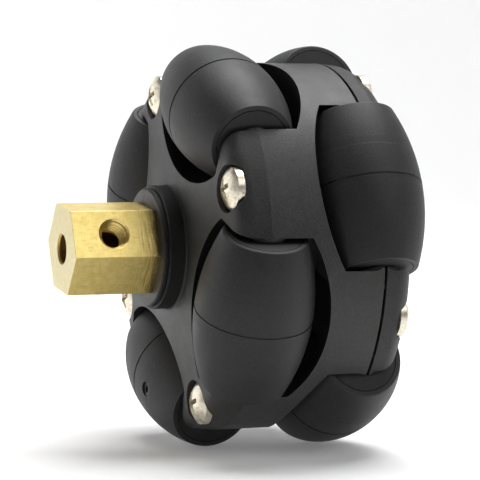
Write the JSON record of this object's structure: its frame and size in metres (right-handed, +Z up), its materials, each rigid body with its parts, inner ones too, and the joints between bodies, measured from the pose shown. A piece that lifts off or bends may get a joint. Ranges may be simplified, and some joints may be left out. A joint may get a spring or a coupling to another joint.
{
  "type": "omni wheel",
  "caption": "Double-row omni wheel with free-turning barrel rollers and a brass hex coupling for a small motor shaft.",
  "frame": {"origin": "centre of the wheel, on its axis and half way between the two rows of rollers", "axes": "Y is the wheel axis, with the coupling pointing to -Y; +Z is up when the wheel stands as on a robot, and X is the way it rolls"},
  "size_m": [0.058, 0.0474, 0.058],
  "materials": {
    "black_nylon": "fine spark-eroded grain, matt",
    "core_nylon": "smooth moulded, matt",
    "tread_rubber": "smooth moulded, soft sheen",
    "brass": "satin, machined",
    "nickel_steel": "nickel plated, bright",
    "pin_steel": "ground"
  },
  "bodies": {
    "wheel": {"centre_body": "black_nylon", "front_cover": "black_nylon", "rear_cover": "black_nylon", "front_cover_screws": "nickel_steel", "rear_cover_screws": "nickel_steel", "hex_coupling": "brass", "fixing_washer": "nickel_steel", "fixing_screw": "nickel_steel", "front_roller_pin_1": "pin_steel", "front_roller_pin_2": "pin_steel", "front_roller_pin_3": "pin_steel", "front_roller_pin_4": "pin_steel", "rear_roller_pin_1": "pin_steel", "rear_roller_pin_2": "pin_steel", "rear_roller_pin_3": "pin_steel", "rear_roller_pin_4": "pin_steel"},
    "front_roller_1": {"front_roller_core_1": "core_nylon", "front_roller_tread_1": "tread_rubber"},
    "front_roller_2": {"front_roller_core_2": "core_nylon", "front_roller_tread_2": "tread_rubber"},
    "front_roller_3": {"front_roller_core_3": "core_nylon", "front_roller_tread_3": "tread_rubber"},
    "front_roller_4": {"front_roller_core_4": "core_nylon", "front_roller_tread_4": "tread_rubber"},
    "rear_roller_1": {"rear_roller_core_1": "core_nylon", "rear_roller_tread_1": "tread_rubber"},
    "rear_roller_2": {"rear_roller_core_2": "core_nylon", "rear_roller_tread_2": "tread_rubber"},
    "rear_roller_3": {"rear_roller_core_3": "core_nylon", "rear_roller_tread_3": "tread_rubber"},
    "rear_roller_4": {"rear_roller_core_4": "core_nylon", "rear_roller_tread_4": "tread_rubber"}
  },
  "joints": [
    {"name": "front_roller_1_spin", "type": "hinge", "parent": "wheel", "child": "front_roller_1", "pos_m": [0.00794, -0.00824, 0.01917], "axis": [-0.9239, 0, 0.3827], "continuous": true},
    {"name": "front_roller_2_spin", "type": "hinge", "parent": "wheel", "child": "front_roller_2", "pos_m": [-0.01917, -0.00824, 0.00794], "axis": [-0.3827, 0, -0.9239], "continuous": true},
    {"name": "front_roller_3_spin", "type": "hinge", "parent": "wheel", "child": "front_roller_3", "pos_m": [-0.00794, -0.00824, -0.01917], "axis": [0.9239, 0, -0.3827], "continuous": true},
    {"name": "front_roller_4_spin", "type": "hinge", "parent": "wheel", "child": "front_roller_4", "pos_m": [0.01917, -0.00824, -0.00794], "axis": [0.3827, 0, 0.9239], "continuous": true},
    {"name": "rear_roller_1_spin", "type": "hinge", "parent": "wheel", "child": "rear_roller_1", "pos_m": [0.01917, 0.00824, 0.00794], "axis": [-0.3827, 0, 0.9239], "continuous": true},
    {"name": "rear_roller_2_spin", "type": "hinge", "parent": "wheel", "child": "rear_roller_2", "pos_m": [-0.00794, 0.00824, 0.01917], "axis": [-0.9239, 0, -0.3827], "continuous": true},
    {"name": "rear_roller_3_spin", "type": "hinge", "parent": "wheel", "child": "rear_roller_3", "pos_m": [-0.01917, 0.00824, -0.00794], "axis": [0.3827, 0, -0.9239], "continuous": true},
    {"name": "rear_roller_4_spin", "type": "hinge", "parent": "wheel", "child": "rear_roller_4", "pos_m": [0.00794, 0.00824, -0.01917], "axis": [0.9239, 0, 0.3827], "continuous": true}
  ]
}
